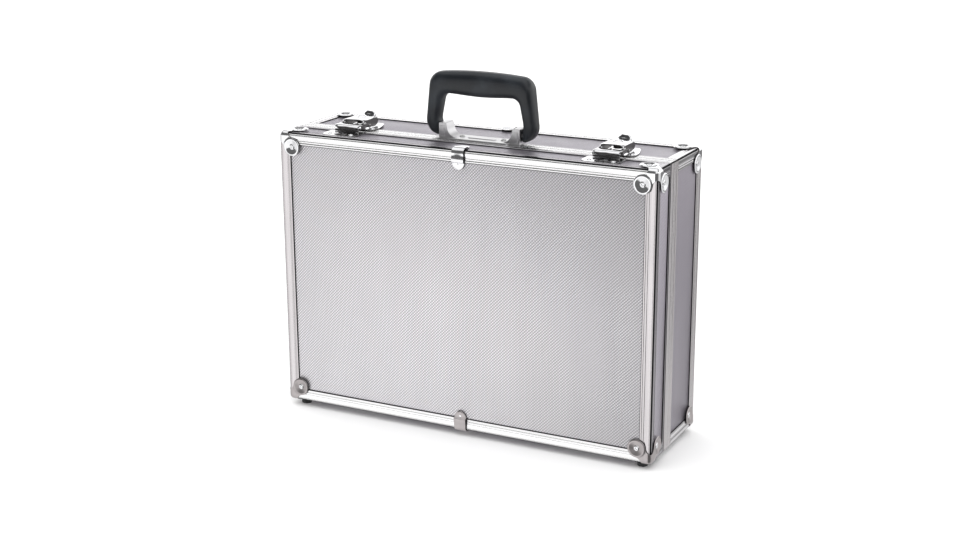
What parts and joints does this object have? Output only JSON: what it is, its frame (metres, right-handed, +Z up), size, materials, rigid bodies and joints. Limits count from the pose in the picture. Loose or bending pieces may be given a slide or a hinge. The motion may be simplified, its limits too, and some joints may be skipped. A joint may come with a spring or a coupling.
{
  "type": "attache case",
  "caption": "Hard attache case: embossed aluminium panels in edge trims, hinged lid, carrying handle, draw latches with locks, corner caps and rubber feet.",
  "frame": {"origin": "middle of the case's footprint, on the plane that the feet stand on", "axes": "+X along the case's width, +Y from the lid's face to the back face, +Z up from the feet to the handle"},
  "size_m": [0.4548, 0.1348, 0.3986],
  "materials": {
    "embossed_panel": "fine diagonal embossing on satin aluminium sheet",
    "trim_aluminium": "bright satin extruded aluminium with fine grooves along its length",
    "chrome": "bright nickel and chrome plate on pressed steel",
    "zinc_steel": "zinc plated steel",
    "handle_plastic": "black moulded plastic with a fine leather grain and a low sheen",
    "foot_rubber": "black rubber",
    "lining_fabric": "dark grey short nap lining cloth",
    "foam": "charcoal open cell foam"
  },
  "bodies": {
    "base": {"back_panel": "embossed_panel", "base_top_panel": "embossed_panel", "base_bottom_panel": "embossed_panel", "base_left_panel": "embossed_panel", "base_right_panel": "embossed_panel", "back_edge_top": "trim_aluminium", "back_edge_bottom": "trim_aluminium", "back_edge_left": "trim_aluminium", "back_edge_right": "trim_aluminium", "base_rim": "trim_aluminium", "base_corner_angles": "trim_aluminium", "back_corner_caps": "chrome", "back_cap_rivets": "chrome", "back_clips": "chrome", "back_clip_rivets": "chrome", "handle_bracket": "chrome", "bracket_screws": "chrome", "latch_plates": "chrome", "latch_rivets": "chrome", "latch_pins": "zinc_steel", "base_hinge_leaves": "zinc_steel", "hinge_pins": "zinc_steel", "back_feet": "foot_rubber", "base_lining": "lining_fabric", "base_foam": "foam", "stay_studs": "zinc_steel"},
    "lid": {"front_panel": "embossed_panel", "lid_top_panel": "embossed_panel", "lid_bottom_panel": "embossed_panel", "lid_left_panel": "embossed_panel", "lid_right_panel": "embossed_panel", "front_edge_top": "trim_aluminium", "front_edge_bottom": "trim_aluminium", "front_edge_left": "trim_aluminium", "front_edge_right": "trim_aluminium", "lid_rim": "trim_aluminium", "lid_corner_angles": "trim_aluminium", "front_corner_caps": "chrome", "front_cap_rivets": "chrome", "front_clips": "chrome", "front_clip_rivets": "chrome", "strike_plates": "chrome", "strike_rivets": "chrome", "lid_hinge_leaves": "zinc_steel", "front_feet": "foot_rubber", "lid_lining": "lining_fabric", "lid_foam": "foam", "stay_pivots": "zinc_steel"},
    "handle": {"handle": "handle_plastic", "handle_pins": "zinc_steel"},
    "lever_left": {"lever_left": "chrome"},
    "bail_left": {"bail_left": "chrome"},
    "lock_left": {"lock_barrel_left": "chrome"},
    "stay_left": {"stay_left": "zinc_steel"},
    "lever_right": {"lever_right": "chrome"},
    "bail_right": {"bail_right": "chrome"},
    "lock_right": {"lock_barrel_right": "chrome"},
    "stay_right": {"stay_right": "zinc_steel"}
  },
  "joints": [
    {"name": "lid_hinge", "type": "hinge", "parent": "base", "child": "lid", "pos_m": [0, -0.0272, 0.0054], "axis": [1, 0, 0], "range_deg": [0, 95]},
    {"name": "handle_pivot", "type": "hinge", "parent": "base", "child": "handle", "pos_m": [0, -0.008, 0.333], "axis": [1, 0, 0], "range_deg": [-78, 78]},
    {"name": "latch_lever_left", "type": "hinge", "parent": "base", "child": "lever_left", "pos_m": [-0.156, -0.018, 0.3295], "axis": [1, 0, 0], "range_deg": [0, 95]},
    {"name": "latch_bail_left", "type": "hinge", "parent": "lever_left", "child": "bail_left", "pos_m": [-0.156, -0.01, 0.328], "axis": [1, 0, 0], "range_deg": [-129, 0]},
    {"name": "lock_turn_left", "type": "hinge", "parent": "lever_left", "child": "lock_left", "pos_m": [-0.156, -0.002, 0.334], "axis": [0, 0, 1], "range_deg": [0, 90]},
    {"name": "stay_swing_left", "type": "hinge", "parent": "lid", "child": "stay_left", "pos_m": [-0.21525, -0.0372, 0.04927], "axis": [1, 0, 0], "range_deg": [-48, 0]},
    {"name": "latch_lever_right", "type": "hinge", "parent": "base", "child": "lever_right", "pos_m": [0.156, -0.018, 0.3295], "axis": [1, 0, 0], "range_deg": [0, 95]},
    {"name": "latch_bail_right", "type": "hinge", "parent": "lever_right", "child": "bail_right", "pos_m": [0.156, -0.01, 0.328], "axis": [1, 0, 0], "range_deg": [-129, 0]},
    {"name": "lock_turn_right", "type": "hinge", "parent": "lever_right", "child": "lock_right", "pos_m": [0.156, -0.002, 0.334], "axis": [0, 0, 1], "range_deg": [0, 90]},
    {"name": "stay_swing_right", "type": "hinge", "parent": "lid", "child": "stay_right", "pos_m": [0.21525, -0.0372, 0.04927], "axis": [1, 0, 0], "range_deg": [-48, 0]}
  ],
  "couplings": [
    {"joint": "latch_bail_left", "follows": "latch_lever_left", "ratio": -1.35},
    {"joint": "stay_swing_left", "follows": "lid_hinge", "ratio": -0.5},
    {"joint": "latch_bail_right", "follows": "latch_lever_right", "ratio": -1.35},
    {"joint": "stay_swing_right", "follows": "lid_hinge", "ratio": -0.5}
  ]
}
